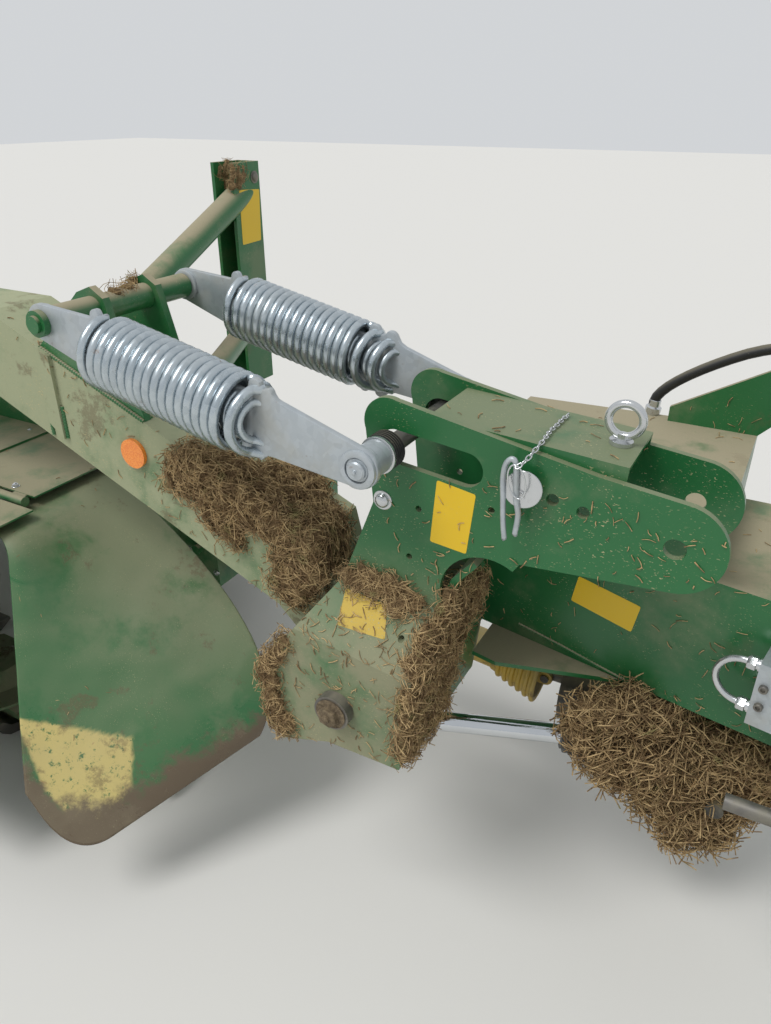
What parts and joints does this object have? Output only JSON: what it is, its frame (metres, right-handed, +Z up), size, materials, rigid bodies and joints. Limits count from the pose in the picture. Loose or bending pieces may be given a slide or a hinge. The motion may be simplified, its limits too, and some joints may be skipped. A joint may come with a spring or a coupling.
{
  "type": "disc_mower_conditioner",
  "caption": "Rear-mounted disc mower conditioner in green paint, parked on its skids: side boom with relief springs, hinge plates, guards and hay remains",
  "frame": {"origin": "middle of the machine's plan bounding box, on the ground", "axes": "+X along the machine towards the tractor's centre line and beyond, +Y rearwards, away from the tractor, +Z up"},
  "size_m": [5.2087, 1.6985, 1.425],
  "materials": {
    "green_paint": "gloss paint under dust",
    "galvanised_steel": "zinc, dull",
    "bare_steel": "worn bare steel",
    "chromed_steel": "hard chrome",
    "black_paint": "satin paint",
    "black_rubber": "matt",
    "yellow_plastic": "matt, dusty",
    "reflector_plastic": "clear moulded"
  },
  "bodies": {
    "headstock": {"headstock_frame": "green_paint", "king_pin": "bare_steel", "lower_hitch_pins": "bare_steel"},
    "leg": {"parking_leg": "green_paint"},
    "swing_beam": {"main_beam": "green_paint", "hinge_plate_front": "green_paint", "hinge_plate_rear": "green_paint", "clevis_web": "green_paint", "spacer_channel": "green_paint", "lifting_eye": "galvanised_steel", "adjusting_pin": "galvanised_steel", "pivot_pin": "bare_steel", "valve_block": "galvanised_steel", "steel_pipe": "galvanised_steel", "hydraulic_hoses": "black_rubber", "input_gearbox": "black_paint"},
    "boom": {"boom_beam": "green_paint", "spring_lugs": "green_paint", "rear_post": "green_paint", "side_reflector": "reflector_plastic"},
    "springs": {"spring_coil_front": "galvanised_steel", "spring_coil_rear": "galvanised_steel", "spring_outer_plates": "galvanised_steel", "spring_inner_plates": "galvanised_steel", "spring_pin": "bare_steel", "pin_boots": "black_rubber"},
    "lift_barrel": {"cylinder_barrel": "black_paint"},
    "lift_rod": {"cylinder_rod": "chromed_steel"},
    "drive_outer": {"driveline_outer": "yellow_plastic"},
    "drive_inner": {"driveline_inner": "yellow_plastic"},
    "mower": {"mower_frame": "green_paint", "hanging_pin": "bare_steel", "cutter_bar": "green_paint", "skid_shoes": "bare_steel", "conditioner_hood": "green_paint", "mower_gearbox": "green_paint", "guard_corner": "green_paint", "top_cover": "green_paint"},
    "rotor": {"conditioner_rotor": "bare_steel"},
    "front_curtain": {"front_guard": "green_paint"},
    "outer_end_guard": {"outer_guard": "green_paint"},
    "inner_board": {"swath_board_inner": "green_paint"},
    "outer_board": {"swath_board_outer": "green_paint"},
    "cutting_disc_1": {"disc_1": "green_paint"},
    "cutting_disc_2": {"disc_2": "green_paint"},
    "cutting_disc_3": {"disc_3": "green_paint"},
    "cutting_disc_4": {"disc_4": "green_paint"},
    "cutting_disc_5": {"disc_5": "green_paint"},
    "cutting_disc_6": {"disc_6": "green_paint"}
  },
  "joints": [
    {"name": "leg_slide", "type": "slide", "parent": "headstock", "child": "leg", "axis": [0, 0, 1], "range_m": [0, 0.25]},
    {"name": "transport_swing", "type": "hinge", "parent": "headstock", "child": "swing_beam", "pos_m": [1.84625, -0.0675, 0.775], "axis": [0, 0, -1], "range_deg": [0, 85]},
    {"name": "boom_lift", "type": "hinge", "parent": "swing_beam", "child": "boom", "pos_m": [0.94125, -0.3675, 0.59], "axis": [0, 1, 0], "range_deg": [0, 13]},
    {"name": "spring_swing", "type": "hinge", "parent": "boom", "child": "springs", "pos_m": [0.38125, -0.3675, 1.218], "axis": [0, -1, 0], "range_deg": [0, 1.46]},
    {"name": "barrel_swing", "type": "hinge", "parent": "swing_beam", "child": "lift_barrel", "pos_m": [1.72125, -0.0735, 0.435], "axis": [0.2372, -0.6382, -0.7324], "range_deg": [0, 1.17]},
    {"name": "rod_stroke", "type": "slide", "parent": "lift_barrel", "child": "lift_rod", "axis": [-0.9254, -0.3779, 0.0296], "range_m": [0, 0.02934]},
    {"name": "drive_swing", "type": "hinge", "parent": "swing_beam", "child": "drive_outer", "pos_m": [1.17125, 0.0325, 0.35], "axis": [0, 1, 0], "range_deg": [0, 9.28]},
    {"name": "drive_stroke", "type": "slide", "parent": "drive_outer", "child": "drive_inner", "axis": [-0.9947, 0, 0.1029], "range_m": [0, 0.04489]},
    {"name": "mower_hang", "type": "hinge", "parent": "boom", "child": "mower", "pos_m": [-0.95875, -0.3675, 1.09092], "axis": [0, 1, 0], "range_deg": [-5, 5]},
    {"name": "rotor_turn", "type": "hinge", "parent": "mower", "child": "rotor", "pos_m": [-0.96875, 0.0025, 0.44], "axis": [1, 0, 0], "continuous": true},
    {"name": "front_guard_lift", "type": "hinge", "parent": "mower", "child": "front_curtain", "pos_m": [-0.96875, -0.4875, 0.7777], "axis": [-1, 0, 0], "range_deg": [0, 80]},
    {"name": "outer_guard_lift", "type": "hinge", "parent": "mower", "child": "outer_end_guard", "pos_m": [-2.07275, -0.4125, 0.77], "axis": [0, 1, 0], "range_deg": [0, 80]},
    {"name": "inner_board_swing", "type": "hinge", "parent": "mower", "child": "inner_board", "pos_m": [0.06125, 0.5475, 0.3], "axis": [0, 0, 1], "range_deg": [-25, 25]},
    {"name": "outer_board_swing", "type": "hinge", "parent": "mower", "child": "outer_board", "pos_m": [-1.99875, 0.5475, 0.3], "axis": [0, 0, 1], "range_deg": [-25, 25]},
    {"name": "disc_1_turn", "type": "hinge", "parent": "mower", "child": "cutting_disc_1", "pos_m": [0.15625, -0.4275, 0.1], "axis": [0, 0, 1], "continuous": true},
    {"name": "disc_2_turn", "type": "hinge", "parent": "mower", "child": "cutting_disc_2", "pos_m": [-0.29375, -0.4275, 0.1], "axis": [0, 0, 1], "continuous": true},
    {"name": "disc_3_turn", "type": "hinge", "parent": "mower", "child": "cutting_disc_3", "pos_m": [-0.74375, -0.4275, 0.1], "axis": [0, 0, 1], "continuous": true},
    {"name": "disc_4_turn", "type": "hinge", "parent": "mower", "child": "cutting_disc_4", "pos_m": [-1.19375, -0.4275, 0.1], "axis": [0, 0, 1], "continuous": true},
    {"name": "disc_5_turn", "type": "hinge", "parent": "mower", "child": "cutting_disc_5", "pos_m": [-1.64375, -0.4275, 0.1], "axis": [0, 0, 1], "continuous": true},
    {"name": "disc_6_turn", "type": "hinge", "parent": "mower", "child": "cutting_disc_6", "pos_m": [-2.09375, -0.4275, 0.1], "axis": [0, 0, 1], "continuous": true}
  ],
  "couplings": [
    {"joint": "spring_swing", "follows": "boom_lift", "ratio": 0.10956},
    {"joint": "barrel_swing", "follows": "boom_lift", "ratio": 0.08802},
    {"joint": "rod_stroke", "follows": "boom_lift", "m_per_rad": 0.12677},
    {"joint": "drive_swing", "follows": "boom_lift", "ratio": 0.69977},
    {"joint": "drive_stroke", "follows": "boom_lift", "m_per_rad": 0.19398},
    {"joint": "disc_2_turn", "follows": "disc_1_turn", "ratio": -1},
    {"joint": "disc_3_turn", "follows": "disc_1_turn", "ratio": 1},
    {"joint": "disc_4_turn", "follows": "disc_1_turn", "ratio": -1},
    {"joint": "disc_5_turn", "follows": "disc_1_turn", "ratio": 1},
    {"joint": "disc_6_turn", "follows": "disc_1_turn", "ratio": -1}
  ]
}
